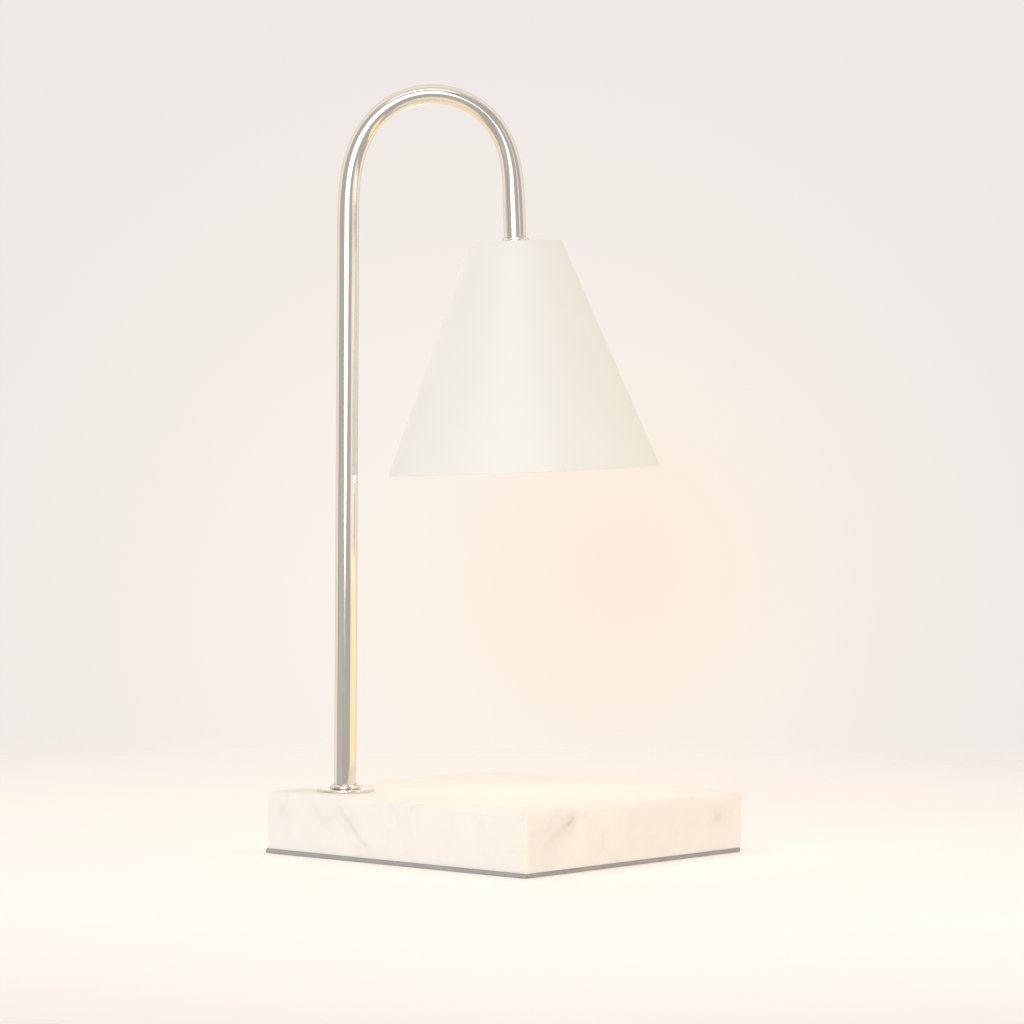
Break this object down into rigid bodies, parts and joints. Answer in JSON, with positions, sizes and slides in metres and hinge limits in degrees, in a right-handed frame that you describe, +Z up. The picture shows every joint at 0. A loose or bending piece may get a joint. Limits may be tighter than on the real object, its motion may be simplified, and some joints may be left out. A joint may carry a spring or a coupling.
{
  "type": "candle warmer lamp",
  "caption": "Table lamp that warms a candle from above: square stone base, polished gooseneck tube, conical metal shade with a downward reflector lamp.",
  "frame": {"origin": "centre of the pad's underside, at the base's bottom face", "axes": "+Z up; +X from the pole's corner of the square base along its diagonal, under the arm, to the opposite corner; XZ is the lamp's mirror plane; the base's sides lie at 45 degrees to X and Y"},
  "size_m": [0.2124, 0.2124, 0.3414],
  "materials": {
    "stone": "honed pale stone with faint grey veins",
    "foam": "matte closed-cell foam",
    "grommet_rubber": "matte",
    "zinc_steel": "zinc plated",
    "polished_metal": "polished nickel",
    "shade_enamel": "fine satin powder coat, warm white",
    "ceramic": "unglazed white",
    "brass": "plain",
    "wire_brown": "insulation",
    "wire_blue": "insulation",
    "lead_sheath": "satin",
    "reflector": "aluminised glass",
    "lamp_glass": "clear",
    "lamp_capsule": "frosted, lit"
  },
  "bodies": {
    "lamp": {"marble_base": "stone", "base_pad": "foam", "cord_grommet": "grommet_rubber", "base_washer": "zinc_steel", "base_lock_washer": "zinc_steel", "base_hex_nut": "zinc_steel", "base_flange": "polished_metal", "base_collar": "polished_metal", "gooseneck_tube": "polished_metal", "inner_lead": "lead_sheath", "shade": "shade_enamel", "shade_collar_nut": "polished_metal", "shade_washer": "zinc_steel", "shade_lock_nut": "zinc_steel", "bracket_nut": "zinc_steel", "holder_bracket": "zinc_steel", "lampholder_cap": "ceramic", "lampholder_body": "ceramic", "holder_screw_1": "zinc_steel", "holder_screw_2": "zinc_steel", "holder_contact_1": "brass", "holder_contact_2": "brass", "lead_wire_1": "wire_brown", "lead_wire_2": "wire_blue"},
    "bulb": {"bulb_base": "ceramic", "bulb_pin_1": "brass", "bulb_pin_2": "brass", "bulb_reflector": "reflector", "bulb_front_glass": "lamp_glass", "bulb_capsule": "lamp_capsule"}
  },
  "joints": [
    {"name": "bulb_twist", "type": "hinge", "parent": "lamp", "child": "bulb", "pos_m": [0.00282, 0, 0.2719], "axis": [-0.0436, 0, 0.999], "range_deg": [-30, 0]}
  ]
}
